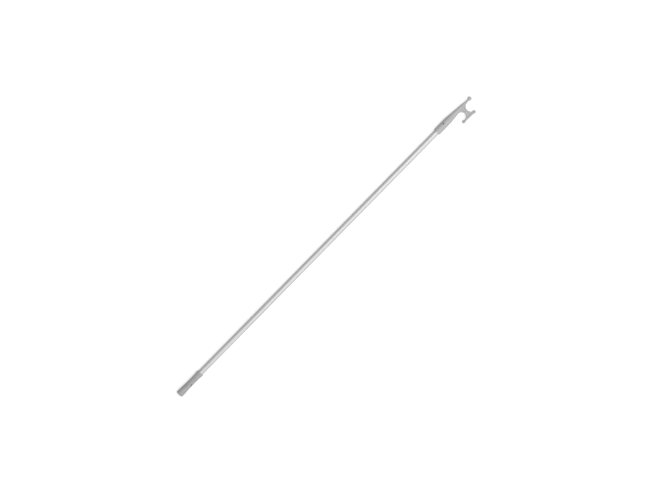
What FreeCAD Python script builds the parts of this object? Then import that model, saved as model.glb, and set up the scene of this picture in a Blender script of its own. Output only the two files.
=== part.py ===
import FreeCAD, Part
import math
import os
import Sketcher

# A fixed-length boat hook. The pole runs along +X from the hand grip to the hook head,
# +Z is up and the hook turns towards -Y. The origin is the middle of the flat butt end.
# Lengths are in millimetres and angles in degrees.

SIZES = (
    # pole: a drawn aluminium tube
    ("pole_diameter", "25"),
    ("pole_wall", "1.2"),
    ("pole_length", "1642"),
    # hand grip: a closed soft sleeve with a flared butt, a waist and a collar
    ("grip_length", "131"),
    ("grip_end_wall", "5"),
    ("grip_clearance", "0.1"),
    ("grip_flare_diameter", "32"),
    ("grip_flare_place", "18"),
    ("grip_waist_diameter", "27.6"),
    ("grip_waist_place", "74"),
    ("grip_collar_diameter", "31"),
    ("grip_collar_length", "12"),
    ("grip_collar_height", "0.8"),
    ("grip_butt_round", "4.5"),
    ("grip_lip_chamfer", "0.6"),
    # plugs that keep water out of both ends of the pole
    ("plug_flange", "1.5"),
    ("plug_length", "10"),
    ("plug_wall", "1.4"),
    ("plug_clearance", "0.1"),
    ("plug_rib_height", "0.6"),
    ("plug_rib_width", "1.6"),
    ("plug_rib_gap", "1.2"),
    # hook head: socket and arm
    ("head_length", "212"),
    ("socket_diameter", "33"),
    ("socket_length", "68"),
    ("socket_depth", "62"),
    ("socket_clearance", "0.1"),
    ("socket_lead_in", "0.8"),
    ("socket_mouth_round", "1.5"),
    ("shoulder_round", "80"),
    ("arm_neck_diameter", "9.6"),
    ("arm_neck_round", "9"),
    ("tip_diameter", "18.4"),
    ("core_diameter", "19"),
    ("core_end_diameter", "8"),
    ("core_length", "60"),
    # hook head: crossbar and the web that carries it
    ("crossbar_diameter", "9"),
    ("crossbar_end_diameter", "15"),
    ("crossbar_neck_round", "6"),
    ("crossbar_span", "62"),
    ("crossbar_place", "145"),
    ("crossbar_drop", "53.6"),
    ("crossbar_toe", "1.85"),
    ("web_place", "151"),
    ("web_waist", "18"),
    ("web_thickness", "3.6"),
    ("web_rim_diameter", "7.2"),
    ("web_rim_reach", "70"),
    ("throat_overlap", "0.2"),
    # blind rivets
    ("rivet_shank_diameter", "3.2"),
    ("rivet_hole_clearance", "0.1"),
    ("rivet_head_diameter", "6.5"),
    ("rivet_head_height", "1.1"),
    ("rivet_head_edge", "0.3"),
    ("rivet_seat_diameter", "7.4"),
    ("rivet_bulb_diameter", "4.8"),
    ("rivet_bulb_height", "2.2"),
    ("rivet_bulb_clearance", "0.05"),
    ("rivet_stem_diameter", "1.8"),
    ("rivet_stem_clearance", "0.04"),
    ("rivet_stem_head_height", "1.6"),
    ("rivet_stem_recess", "0.3"),
    ("head_rivet_place", "45"),
    ("head_rivet_turn", "-16"),
    ("head_rivet_seat_depth", "1.2"),
    ("grip_rivet_place", "67"),
    ("grip_rivet_turn", "44"),
    ("grip_rivet_seat_depth", "0.45"),
)

FULL_TURN = 360
HALF_TURN = 180
QUARTER_TURN = 90

# Places along the pole, measured from the butt end.
POLE_START = "(sizes.grip_end_wall + sizes.plug_flange)"
POLE_END = f"({POLE_START} + sizes.pole_length)"
SOCKET_MOUTH = f"({POLE_END} + sizes.plug_flange - sizes.socket_depth)"
HEAD_RIVET = f"({SOCKET_MOUTH} + sizes.head_rivet_place)"

# Radii that several pieces share.
POLE_RADIUS = "(sizes.pole_diameter / 2)"
POLE_BORE = f"({POLE_RADIUS} - sizes.pole_wall)"
GRIP_BORE = f"({POLE_RADIUS} + sizes.grip_clearance / 2)"
SOCKET_BORE = f"({POLE_RADIUS} + sizes.socket_clearance / 2)"
SHANK_RADIUS = "(sizes.rivet_shank_diameter / 2)"
RIVET_HOLE = f"({SHANK_RADIUS} + sizes.rivet_hole_clearance / 2)"
HEAD_SEAT = "(sizes.socket_diameter / 2 - sizes.head_rivet_seat_depth)"
GRIP_SEAT = "(sizes.grip_waist_diameter / 2 - sizes.grip_rivet_seat_depth)"
SEAT_RADIUS = "(sizes.rivet_seat_diameter / 2)"
STEM_HOLE = "((sizes.rivet_stem_diameter + sizes.rivet_stem_clearance) / 2)"
STEM_HEAD_RADIUS = "(sizes.rivet_bulb_diameter / 2 - sizes.rivet_stem_clearance)"
BULB_RADIUS = "(sizes.rivet_bulb_diameter / 2)"
BULB_TOP = f"(sqrt({POLE_BORE} ^ 2 - {BULB_RADIUS} ^ 2) - sizes.rivet_bulb_clearance)"
BULB_FOOT = f"({BULB_TOP} - sizes.rivet_bulb_height)"
OUTSIDE = "sizes.socket_diameter"

# The arm's underside and the crossbar's inner side, as straight lines seen from above. Both are
# measured from the pole's axis; along the pole they start at the mouth of the socket.
NECK_SWEEP = (
    "sqrt((sizes.tip_diameter / 2 + sizes.arm_neck_round) ^ 2"
    " - (sizes.arm_neck_diameter / 2 + sizes.arm_neck_round) ^ 2)"
)
CONE_END = f"(sizes.head_length - sizes.tip_diameter / 2 - {NECK_SWEEP})"
CONE_SLOPE = f"((sizes.socket_diameter - sizes.arm_neck_diameter) / 2 / ({CONE_END} - sizes.socket_length))"
BAR_SLOPE = "tan(sizes.crossbar_toe)"
ARM_SIDE = f"(sizes.socket_diameter / 2 + {CONE_SLOPE} * sizes.socket_length)"
BAR_SIDE = f"(sizes.crossbar_drop - sizes.crossbar_diameter / 2 - {BAR_SLOPE} * sizes.crossbar_place)"

HEAD_RIVETS = 2
PLUG_RIBS = 2


def make_sheet(doc):
    """Put every driving size in a spreadsheet, each under its own name."""
    sheet = doc.addObject("Spreadsheet::Sheet", "sizes")
    for row, (name, number) in enumerate(SIZES, start=1):
        sheet.set(f"A{row}", name)
        sheet.set(f"B{row}", number)
        sheet.setAlias(f"B{row}", name)
    doc.recompute()
    return sheet


def worth(owner, expression):
    """The present number of an expression over the spreadsheet."""
    number = owner.evalExpression(expression)
    return float(getattr(number, "Value", number))


def origin_part(body, role):
    """One of a body's own origin planes or axes."""
    return [item for item in body.Origin.OriginFeatures if item.Role == role][0]


def new_body(doc, name, along="0", turn="0"):
    """A body whose own origin lies on the pole's axis, turned about that axis."""
    body = doc.addObject("PartDesign::Body", name)
    body.Label = name
    about_pole = FreeCAD.Rotation(FreeCAD.Vector(1, 0, 0), worth(body, turn))
    body.Placement = FreeCAD.Placement(FreeCAD.Vector(worth(body, along), 0, 0), about_pole)
    if along != "0":
        body.setExpression("Placement.Base.x", along)
    if turn != "0":
        body.setExpression("Placement.Rotation.Angle", turn)
    return body


def new_sketch(body, name, role, across="0", up="0", out="0", turn="0", about=(0, 0, 1)):
    """A sketch on one of the body's origin planes, shifted and turned within that plane's frame."""
    sketch = body.newObject("Sketcher::SketchObject", name)
    sketch.AttachmentSupport = [(origin_part(body, role), "")]
    sketch.MapMode = "FlatFace"
    rotation = FreeCAD.Rotation(FreeCAD.Vector(*about), worth(sketch, turn))
    shift = FreeCAD.Vector(worth(sketch, across), worth(sketch, up), worth(sketch, out))
    sketch.AttachmentOffset = FreeCAD.Placement(shift, rotation)
    for path, expression in (("Base.x", across), ("Base.y", up), ("Base.z", out), ("Rotation.Angle", turn)):
        if expression != "0":
            sketch.setExpression(f"AttachmentOffset.{path}", expression)
    return sketch


def hold(sketch, piece, end, across=None, up=None):
    """Hold one point of a sketch at sheet expressions, where a zero keeps it on the axis."""
    for kind, axis, expression in (("DistanceX", -2, across), ("DistanceY", -1, up)):
        if expression is None:
            continue
        if expression == "0":
            sketch.addConstraint(Sketcher.Constraint("PointOnObject", piece, end, axis))
            continue
        number = worth(sketch, expression)
        index = sketch.addConstraint(Sketcher.Constraint(kind, -1, 1, piece, end, number))
        sketch.setExpression(f"Constraints[{index}]", expression)


def hold_radius(sketch, piece, expression):
    """Hold the radius of a circle or an arc."""
    index = sketch.addConstraint(Sketcher.Constraint("Radius", piece, worth(sketch, expression)))
    sketch.setExpression(f"Constraints[{index}]", expression)


def draw_line(sketch, start, end):
    """Add a line and return it with its first and last ends."""
    return sketch.addGeometry(Part.LineSegment(start, end), False), 1, 2


def draw_arc(sketch, centre, start, end, clockwise=False):
    """Add an arc about a centre and return it with its first and last ends."""
    if clockwise:
        start, end = end, start
    circle = Part.Circle(centre, FreeCAD.Vector(0, 0, 1), (start - centre).Length)
    angles = [math.atan2(point.y - centre.y, point.x - centre.x) for point in (start, end)]
    piece = sketch.addGeometry(Part.ArcOfCircle(circle, *angles), False)
    return (piece, 2, 1) if clockwise else (piece, 1, 2)


def join(sketch, pieces, smooth=()):
    """Join the pieces of a closed outline end to end; the joints named in smooth are tangent."""
    for number, (piece, _, last) in enumerate(pieces):
        following, first, _ = pieces[(number + 1) % len(pieces)]
        kind = "Tangent" if number in smooth else "Coincident"
        sketch.addConstraint(Sketcher.Constraint(kind, piece, last, following, first))


def draw_outline(sketch, corners, arcs=None):
    """Draw a closed outline through corners held by the sheet.

    arcs gives, for the piece that leaves a corner, where its centre stands across the sketch
    and whether it runs clockwise; every other piece is a straight line.
    """
    arcs = arcs or {}
    points = [FreeCAD.Vector(worth(sketch, across), worth(sketch, up), 0) for across, up in corners]
    pieces = []
    for number, start in enumerate(points):
        end = points[(number + 1) % len(points)]
        if number in arcs:
            centre_across, clockwise = arcs[number]
            centre = centre_on(worth(sketch, centre_across), start, end)
            pieces.append(draw_arc(sketch, centre, start, end, clockwise))
        else:
            pieces.append(draw_line(sketch, start, end))
    join(sketch, pieces)
    for (piece, first, _), (across, up) in zip(pieces, corners):
        hold(sketch, piece, first, across, up)
    for number, (centre_across, _) in arcs.items():
        hold(sketch, pieces[number][0], 3, centre_across)
    return sketch


def centre_on(across, start, end):
    """The centre of the circle through two points that stands at a given place across."""
    rise = ((end.x - across) ** 2 + end.y ** 2 - (start.x - across) ** 2 - start.y ** 2) / 2
    return FreeCAD.Vector(across, rise / (end.y - start.y), 0)


def draw_circle(sketch, radius, across="0", up="0"):
    """Draw a circle held by the sheet."""
    centre = FreeCAD.Vector(worth(sketch, across), worth(sketch, up), 0)
    piece = sketch.addGeometry(Part.Circle(centre, FreeCAD.Vector(0, 0, 1), worth(sketch, radius)), False)
    hold(sketch, piece, 3, across, up)
    hold_radius(sketch, piece, radius)


def volume(body):
    """The body's volume so far."""
    body.Document.recompute()
    return 0 if body.Shape.isNull() else body.Shape.Volume


def add_feature(body, kind, sketch, **settings):
    """Add a sketched feature, and check that it adds or takes away material as it should."""
    before = volume(body)
    feature = body.newObject(f"PartDesign::{kind}", f"{sketch.Name}_{kind.lower()}")
    feature.Profile = sketch
    for name, setting in settings.items():
        if isinstance(setting, str) and name in ("Length", "Angle"):
            feature.setExpression(name, setting)
        else:
            setattr(feature, name, setting)
    change = volume(body) - before
    expected = -1 if kind in ("Pocket", "Groove") else 1
    if change * expected <= 0:
        raise RuntimeError(f"{feature.Name} changed the volume by {change:.3f}")
    return feature


def spin(body, kind, sketch, axis="H_Axis", angle=FULL_TURN, midplane=False):
    """Turn a sketch about one of its own axes, to add or to cut."""
    return add_feature(body, kind, sketch, ReferenceAxis=(sketch, [axis]), Angle=angle, Midplane=midplane)


def repeat_round_pole(body, features, copies):
    """Repeat features evenly about the body's X axis."""
    before = volume(body)
    pattern = body.newObject("PartDesign::PolarPattern", f"{features[0].Name}_pattern")
    pattern.Originals = features
    pattern.Axis = (origin_part(body, "X_Axis"), [""])
    pattern.Angle = FULL_TURN
    pattern.Occurrences = copies
    body.Tip = pattern
    if volume(body) == before:
        raise RuntimeError(f"{pattern.Name} repeated nothing")
    return pattern


def ring_edges(shape, along, radius):
    """Names of the round edges about the X axis at one place and radius."""
    names = []
    for number, edge in enumerate(shape.Edges, start=1):
        if edge.Degenerated or not isinstance(edge.Curve, Part.Circle):
            continue
        at_place = abs(edge.Curve.Center.x - along) < 1e-6
        at_radius = abs(edge.Curve.Radius - radius) < 1e-6
        if at_place and at_radius:
            names.append(f"Edge{number}")
    if not names:
        raise RuntimeError(f"no round edge at {along}, radius {radius}")
    return names


def soften_rings(body, kind, name, rings, size):
    """Round or chamfer the circular edges about the X axis that stand at the given places and radii."""
    body.Document.recompute()
    base = body.Tip
    edges = []
    for along, ring in rings:
        edges += ring_edges(base.Shape, worth(body, along), worth(body, ring))
    feature = body.newObject(f"PartDesign::{kind}", name)
    feature.Base = (base, edges)
    feature.setExpression("Radius" if kind == "Fillet" else "Size", size)
    return feature


def rivet_hole(body, name, along, turn, seat=None):
    """Drill a rivet hole from the pole's axis out through one wall, with a flat seat where one is asked for."""
    sketch = new_sketch(body, name, "XZ_Plane", across=along, turn=turn, about=(1, 0, 0))
    corners = [("0", "0"), (RIVET_HOLE, "0")]
    if seat is None:
        corners += [(RIVET_HOLE, OUTSIDE)]
    else:
        corners += [(RIVET_HOLE, seat), (SEAT_RADIUS, seat), (SEAT_RADIUS, OUTSIDE)]
    corners += [("0", OUTSIDE)]
    draw_outline(sketch, corners)
    return spin(body, "Groove", sketch, axis="V_Axis")


def make_pole(doc):
    """The drawn tube, drilled for the rivets at both ends."""
    body = new_body(doc, "pole_tube", along=POLE_START)
    ring = new_sketch(body, "pole_section", "YZ_Plane")
    draw_circle(ring, POLE_RADIUS)
    draw_circle(ring, POLE_BORE)
    add_feature(body, "Pad", ring, Length="sizes.pole_length")
    rivet_hole(body, "pole_grip_hole", f"sizes.grip_rivet_place - {POLE_START}", "sizes.grip_rivet_turn")
    head_hole = rivet_hole(body, "pole_head_hole", f"{HEAD_RIVET} - {POLE_START}", "sizes.head_rivet_turn")
    repeat_round_pole(body, [head_hole], HEAD_RIVETS)
    return body


def make_grip(doc):
    """The closed hand grip: flared butt, waist and collar in one turned outline."""
    body = new_body(doc, "hand_grip")
    outline = new_sketch(body, "grip_outline", "XY_Plane")
    flare = "sizes.grip_flare_diameter / 2"
    collar = "sizes.grip_collar_diameter / 2"
    collar_start = "sizes.grip_length - sizes.grip_collar_length"
    corners = [
        ("0", "0"),
        ("0", flare),
        ("sizes.grip_flare_place", flare),
        ("sizes.grip_waist_place", "sizes.grip_waist_diameter / 2"),
        (collar_start, f"{collar} - sizes.grip_collar_height"),
        (collar_start, collar),
        ("sizes.grip_length", collar),
        ("sizes.grip_length", GRIP_BORE),
        ("sizes.grip_end_wall", GRIP_BORE),
        ("sizes.grip_end_wall", "0"),
    ]
    waist_arcs = {2: ("sizes.grip_waist_place", False), 3: ("sizes.grip_waist_place", False)}
    draw_outline(outline, corners, waist_arcs)
    spin(body, "Revolution", outline)
    lips = [(collar_start, collar), ("sizes.grip_length", collar)]
    soften_rings(body, "Fillet", "butt_round", [("0", flare)], "sizes.grip_butt_round")
    soften_rings(body, "Chamfer", "collar_chamfers", lips, "sizes.grip_lip_chamfer")
    rivet_hole(body, "grip_rivet_hole", "sizes.grip_rivet_place", "sizes.grip_rivet_turn", GRIP_SEAT)
    return body


def make_plug(doc, name, along, turned_round):
    """A ribbed cup that plugs one end of the pole, its flange clamped against the end of the tube."""
    body = doc.addObject("PartDesign::Body", name)
    body.Label = name
    half_turn = FreeCAD.Rotation(FreeCAD.Vector(0, 0, 1), HALF_TURN if turned_round else 0)
    body.Placement = FreeCAD.Placement(FreeCAD.Vector(worth(body, along), 0, 0), half_turn)
    body.setExpression("Placement.Base.x", along)
    flange = f"({POLE_RADIUS} - sizes.plug_clearance)"
    rib = f"({POLE_BORE} - sizes.plug_clearance / 2)"
    barrel = f"({rib} - sizes.plug_rib_height)"
    inside = f"({barrel} - sizes.plug_wall)"
    corners = [("0", "0"), ("0", flange), ("sizes.plug_flange", flange), ("sizes.plug_flange", barrel)]
    for number in range(PLUG_RIBS):
        start = f"sizes.plug_flange + sizes.plug_rib_gap + {number} * (sizes.plug_rib_width + sizes.plug_rib_gap)"
        corners += [(start, barrel), (start, rib), (f"{start} + sizes.plug_rib_width", barrel)]
    full_length = "sizes.plug_flange + sizes.plug_length"
    corners += [(full_length, barrel), (full_length, inside), ("sizes.plug_flange", inside), ("sizes.plug_flange", "0")]
    outline = new_sketch(body, f"{name}_outline", "XY_Plane")
    draw_outline(outline, corners)
    spin(body, "Revolution", outline)
    return body


def make_rivet(doc, name, along, turn, seat, copies):
    """Hollow blind rivets: a domed head on its seat and a bulb set against the inside of the tube."""
    body = new_body(doc, name, along=along, turn=turn)
    outline = new_sketch(body, f"{name}_outline", "XZ_Plane")
    head = "sizes.rivet_head_diameter / 2"
    corners = [
        (STEM_HOLE, BULB_FOOT),
        (BULB_RADIUS, BULB_FOOT),
        (BULB_RADIUS, BULB_TOP),
        (SHANK_RADIUS, BULB_TOP),
        (SHANK_RADIUS, seat),
        (head, seat),
        (head, f"{seat} + sizes.rivet_head_edge"),
        (STEM_HOLE, f"{seat} + sizes.rivet_head_height"),
    ]
    draw_outline(outline, corners, {6: ("0", False)})
    set_rivet = spin(body, "Revolution", outline, axis="V_Axis")
    if copies > 1:
        repeat_round_pole(body, [set_rivet], copies)
    return body


def make_stem(doc, name, along, turn, seat, copies):
    """The steel pulling stems left in set blind rivets, snapped off just inside the head."""
    body = new_body(doc, name, along=along, turn=turn)
    outline = new_sketch(body, f"{name}_outline", "XZ_Plane")
    stem = "sizes.rivet_stem_diameter / 2"
    corners = [
        ("0", f"{BULB_FOOT} - sizes.rivet_stem_head_height"),
        (STEM_HEAD_RADIUS, f"{BULB_FOOT} - sizes.rivet_stem_head_height / 2"),
        (STEM_HEAD_RADIUS, BULB_FOOT),
        (stem, BULB_FOOT),
        (stem, f"{seat} + sizes.rivet_head_height - sizes.rivet_stem_recess"),
        ("0", f"{seat} + sizes.rivet_head_height - sizes.rivet_stem_recess"),
    ]
    draw_outline(outline, corners)
    snapped = spin(body, "Revolution", outline, axis="V_Axis")
    if copies > 1:
        repeat_round_pole(body, [snapped], copies)
    return body


def draw_arm(sketch):
    """Half the outline of socket, cone, neck and tip ball, from the socket's mouth to the tip."""
    socket = worth(sketch, "sizes.socket_diameter / 2")
    shoulder = worth(sketch, "sizes.socket_length")
    blend = worth(sketch, "sizes.shoulder_round")
    neck = worth(sketch, "sizes.arm_neck_diameter / 2")
    sweep = worth(sketch, "sizes.arm_neck_round")
    ball = worth(sketch, "sizes.tip_diameter / 2")
    tip = worth(sketch, "sizes.head_length")
    run = worth(sketch, NECK_SWEEP)
    slope = math.atan(worth(sketch, CONE_SLOPE))
    setback = blend * math.tan(slope / 2)

    origin = FreeCAD.Vector(0, 0, 0)
    mouth_edge = FreeCAD.Vector(0, socket, 0)
    flank_end = FreeCAD.Vector(shoulder - setback, socket, 0)
    blend_middle = FreeCAD.Vector(shoulder - setback, socket - blend, 0)
    cone_start = blend_middle + FreeCAD.Vector(math.sin(slope), math.cos(slope), 0) * blend
    neck_end = FreeCAD.Vector(tip - ball - run, neck, 0)
    sweep_middle = FreeCAD.Vector(tip - ball - run, neck + sweep, 0)
    ball_middle = FreeCAD.Vector(tip - ball, 0, 0)
    ball_start = ball_middle + (sweep_middle - ball_middle) * (ball / (ball + sweep))
    tip_point = FreeCAD.Vector(tip, 0, 0)
    pieces = [
        draw_line(sketch, origin, mouth_edge),
        draw_line(sketch, mouth_edge, flank_end),
        draw_arc(sketch, blend_middle, flank_end, cone_start, clockwise=True),
        draw_line(sketch, cone_start, neck_end),
        draw_arc(sketch, sweep_middle, neck_end, ball_start),
        draw_arc(sketch, ball_middle, ball_start, tip_point, clockwise=True),
        draw_line(sketch, tip_point, origin),
    ]
    mouth, flank, shoulder_arc, cone, hollow, round_end, _ = [piece for piece, _, _ in pieces]
    join(sketch, pieces, smooth=(1, 2, 3, 4))

    # the flank and the cone would meet at the shoulder, which the blend rounds off
    corner = sketch.addGeometry(Part.Point(FreeCAD.Vector(shoulder, socket, 0)), True)
    hold(sketch, corner, 1, "sizes.socket_length", "sizes.socket_diameter / 2")
    sketch.addConstraint(Sketcher.Constraint("PointOnObject", corner, 1, cone))
    sketch.addConstraint(Sketcher.Constraint("PointOnObject", corner, 1, flank))
    sketch.addConstraint(Sketcher.Constraint("Horizontal", flank))
    hold(sketch, mouth, 1, "0", "0")
    hold(sketch, mouth, 2, "0", None)
    hold(sketch, cone, 2, None, "sizes.arm_neck_diameter / 2")
    hold_radius(sketch, shoulder_arc, "sizes.shoulder_round")
    hold_radius(sketch, hollow, "sizes.arm_neck_round")
    hold_radius(sketch, round_end, "sizes.tip_diameter / 2")
    hold(sketch, round_end, 3, None, "0")
    hold(sketch, round_end, 1, "sizes.head_length", "0")


def draw_crossbar(sketch):
    """Half the outline of the crossbar about its own middle: two ball ends swept into a round bar."""
    bar = worth(sketch, "sizes.crossbar_diameter / 2")
    ball = worth(sketch, "sizes.crossbar_end_diameter / 2")
    sweep = worth(sketch, "sizes.crossbar_neck_round")
    reach = worth(sketch, "sizes.crossbar_span / 2")
    run = math.sqrt((ball + sweep) ** 2 - (bar + sweep) ** 2)
    share = ball / (ball + sweep)
    pieces = []
    right = [
        FreeCAD.Vector(reach, 0, 0),
        FreeCAD.Vector(reach - run, bar + sweep, 0),
        FreeCAD.Vector(reach - run, bar, 0),
        FreeCAD.Vector(reach - run * share, (bar + sweep) * share, 0),
        FreeCAD.Vector(reach + ball, 0, 0),
    ]
    left = [FreeCAD.Vector(-point.x, point.y, 0) for point in right]
    pieces.append(draw_arc(sketch, left[0], left[4], left[3], clockwise=True))
    pieces.append(draw_arc(sketch, left[1], left[3], left[2]))
    pieces.append(draw_line(sketch, left[2], right[2]))
    pieces.append(draw_arc(sketch, right[1], right[2], right[3]))
    pieces.append(draw_arc(sketch, right[0], right[3], right[4], clockwise=True))
    pieces.append(draw_line(sketch, right[4], left[4]))
    left_ball, left_sweep, top, right_sweep, right_ball, _ = [piece for piece, _, _ in pieces]
    join(sketch, pieces, smooth=(0, 1, 2, 3))
    for piece, centre in ((left_ball, "-sizes.crossbar_span / 2"), (right_ball, "sizes.crossbar_span / 2")):
        hold(sketch, piece, 3, centre, "0")
        hold_radius(sketch, piece, "sizes.crossbar_end_diameter / 2")
    for piece in (left_sweep, right_sweep):
        hold_radius(sketch, piece, "sizes.crossbar_neck_round")
    hold(sketch, left_ball, 2, None, "0")
    hold(sketch, right_ball, 1, None, "0")
    hold(sketch, top, 1, None, "sizes.crossbar_diameter / 2")
    sketch.addConstraint(Sketcher.Constraint("Horizontal", top))


def throat(side):
    """Radius of a throat and where its centre stands, along the head and down from the pole's axis.

    side is -1 for the throat that opens towards the grip and 1 for the one that opens towards the
    tip. The circle touches the web's waist and runs just inside the arm's underside and the
    crossbar's inner side, so that the rim's ends are buried in them.
    """
    waist = f"(sizes.web_place + {side} * sizes.web_waist / 2)"
    spread = f"({CONE_SLOPE} + {BAR_SLOPE})"
    gap = f"({BAR_SIDE} - {ARM_SIDE} + 2 * sizes.throat_overlap)"
    radius = f"(({gap} + {spread} * {waist}) / (2 - {side} * {spread}))"
    along = f"({waist} + {side} * {radius})"
    down = f"({ARM_SIDE} - {CONE_SLOPE} * {along} + {radius} - sizes.throat_overlap)"
    return radius, along, down


def make_head(doc):
    """The moulded hook head: socket and tapered arm, crossbar, and a thin web between two round rims."""
    body = new_body(doc, "hook_head", along=SOCKET_MOUTH)
    rim = "sizes.web_rim_diameter / 2"
    throats = {"rear": (-1, *throat(-1)), "front": (1, *throat(1))}

    # the web starts as a thin plate from the arm's axis to the crossbar's
    plate = new_sketch(body, "web_plate", "XY_Plane")
    rear, front = throats["rear"][2], throats["front"][2]
    draw_outline(plate, [
        (rear, "0"), (front, "0"), (front, "-sizes.crossbar_drop"), (rear, "-sizes.crossbar_drop"),
    ])
    add_feature(body, "Pad", plate, Length="sizes.web_thickness", Midplane=True)

    # the plate is cut back to the middle of each throat's rim
    for name, (side, radius, along, down) in throats.items():
        cut = new_sketch(body, f"{name}_throat", "XY_Plane")
        draw_circle(cut, f"{radius} + {rim}", along, f"-{down}")
        add_feature(body, "Pocket", cut, Type="ThroughAll", Midplane=True)

    # each rim is a ring of round section that starts inside the arm; the rear one ends inside the
    # straight of the crossbar, and the front one stops sooner, inside its ball end
    for name, (side, radius, along, down) in throats.items():
        section = new_sketch(body, f"{name}_rim", "XZ_Plane", across=along, out=down)
        draw_circle(section, rim, f"{-side} * ({radius} + {rim})", "0")
        ring = spin(body, "Revolution", section, axis="V_Axis", angle=QUARTER_TURN)
        ring.Type = "TwoAngles"
        ring.Angle2 = QUARTER_TURN
        if name == "front":
            ring.setExpression("Angle", "sizes.web_rim_reach")

    arm = new_sketch(body, "arm_outline", "XY_Plane")
    draw_arm(arm)
    spin(body, "Revolution", arm)
    crossbar = new_sketch(
        body, "crossbar_outline", "XY_Plane",
        across="sizes.crossbar_place", up="-sizes.crossbar_drop", turn="-sizes.crossbar_toe",
    )
    draw_crossbar(crossbar)
    spin(body, "Revolution", crossbar)

    socket = "sizes.socket_diameter / 2"
    soften_rings(body, "Fillet", "mouth_round", [("0", socket)], "sizes.socket_mouth_round")
    bore = new_sketch(body, "socket_bore", "XY_Plane")
    core_end = "sizes.socket_depth + sizes.core_length"
    draw_outline(bore, [
        ("0", "0"),
        ("0", f"{SOCKET_BORE} + sizes.socket_lead_in"),
        ("sizes.socket_lead_in", SOCKET_BORE),
        ("sizes.socket_depth", SOCKET_BORE),
        ("sizes.socket_depth", "sizes.core_diameter / 2"),
        (core_end, "sizes.core_end_diameter / 2"),
        (f"{core_end} + sizes.core_end_diameter / 2", "0"),
    ], {5: (core_end, True)})
    spin(body, "Groove", bore)
    hole = rivet_hole(body, "head_rivet_hole", "sizes.head_rivet_place", "sizes.head_rivet_turn", HEAD_SEAT)
    repeat_round_pole(body, [hole], HEAD_RIVETS)
    return body


def check(doc, parts):
    """Stop if any object failed, or if any sub-part is empty or not valid."""
    for item in doc.Objects:
        if {"Invalid", "Error"} & set(item.State):
            raise RuntimeError(f"{item.Name} failed: {item.State}")
    for part in parts:
        if part.Shape.isNull() or not part.Shape.isValid() or not part.Shape.Solids:
            raise RuntimeError(f"{part.Label} has no valid solid")


def main():
    """Build the boat hook and write one STEP file for each sub-part."""
    doc = FreeCAD.newDocument("boat_hook")
    make_sheet(doc)
    head_rivet = (HEAD_RIVET, "sizes.head_rivet_turn", HEAD_SEAT, HEAD_RIVETS)
    grip_rivet = ("sizes.grip_rivet_place", "sizes.grip_rivet_turn", GRIP_SEAT, 1)
    parts = [
        make_pole(doc),
        make_grip(doc),
        make_head(doc),
        make_plug(doc, "butt_end_plug", "sizes.grip_end_wall", turned_round=False),
        make_plug(doc, "head_end_plug", f"{POLE_END} + sizes.plug_flange", turned_round=True),
        make_rivet(doc, "head_rivets", *head_rivet),
        make_rivet(doc, "grip_rivet", *grip_rivet),
        make_stem(doc, "head_rivet_stems", *head_rivet),
        make_stem(doc, "grip_rivet_stem", *grip_rivet),
    ]
    doc.recompute()
    check(doc, parts)
    os.makedirs("parts", exist_ok=True)
    for part in parts:
        part.Shape.exportStep(f"parts/{part.Label}.step")
        box = part.Shape.BoundBox
        print(f"{part.Label}: {len(part.Shape.Solids)} solid, {part.Shape.Volume:.1f} mm3, "
              f"x {box.XMin:.1f} to {box.XMax:.1f}, y {box.YMin:.1f} to {box.YMax:.1f}, "
              f"z {box.ZMin:.1f} to {box.ZMax:.1f}")


main()
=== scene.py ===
"""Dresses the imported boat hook: drawn aluminium pole, moulded head and grip, blind rivets, and a plain studio."""

import math

import bmesh
import bpy
from bpy.props import FloatProperty, FloatVectorProperty, IntProperty, PointerProperty
from bpy.types import Operator, Panel, PropertyGroup
from mathutils import Matrix, Vector


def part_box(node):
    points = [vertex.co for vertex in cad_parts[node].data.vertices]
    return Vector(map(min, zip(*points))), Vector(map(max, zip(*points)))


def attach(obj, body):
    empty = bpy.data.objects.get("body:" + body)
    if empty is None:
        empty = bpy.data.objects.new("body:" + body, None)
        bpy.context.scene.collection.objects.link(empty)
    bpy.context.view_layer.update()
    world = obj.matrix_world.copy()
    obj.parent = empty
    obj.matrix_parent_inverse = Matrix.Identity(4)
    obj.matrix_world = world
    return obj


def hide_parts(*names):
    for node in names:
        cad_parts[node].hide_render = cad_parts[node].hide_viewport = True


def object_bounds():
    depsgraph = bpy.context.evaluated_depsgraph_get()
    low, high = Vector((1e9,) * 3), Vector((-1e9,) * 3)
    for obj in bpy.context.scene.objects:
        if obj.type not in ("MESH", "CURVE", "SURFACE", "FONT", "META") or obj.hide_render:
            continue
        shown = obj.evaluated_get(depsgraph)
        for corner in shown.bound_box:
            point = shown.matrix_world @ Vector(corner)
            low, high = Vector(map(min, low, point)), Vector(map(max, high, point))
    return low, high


bl_info = {
    "name": "Boat Hook",
    "version": (1, 0, 0),
    "blender": (4, 5, 0),
    "location": "3D View > Sidebar > Boat Hook",
    "description": "Builds the looks of a one-piece boat hook around its packed frame",
    "category": "Object",
}

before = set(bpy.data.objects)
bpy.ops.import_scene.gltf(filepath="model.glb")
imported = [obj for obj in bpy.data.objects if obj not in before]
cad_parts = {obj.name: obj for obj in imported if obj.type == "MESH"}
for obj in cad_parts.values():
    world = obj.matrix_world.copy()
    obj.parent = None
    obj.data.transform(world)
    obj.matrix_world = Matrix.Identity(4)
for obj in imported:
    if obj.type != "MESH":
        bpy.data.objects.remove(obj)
CAD_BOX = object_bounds()
POLE_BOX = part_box("pole_tube")
GRIP_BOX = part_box("hand_grip")
HEAD_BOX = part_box("hook_head")

MM = 0.001
POLE_AXIS = Vector((1, 0, 0))
UPRIGHT = Vector((0, 0, 1))
QUARTER = math.pi / 2
HALF = math.pi
FULL = 2 * math.pi
SHARP = math.radians(32)
MERGE = 1e-7
ARM_SEGMENTS = 128
BAR_SEGMENTS = 64


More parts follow.
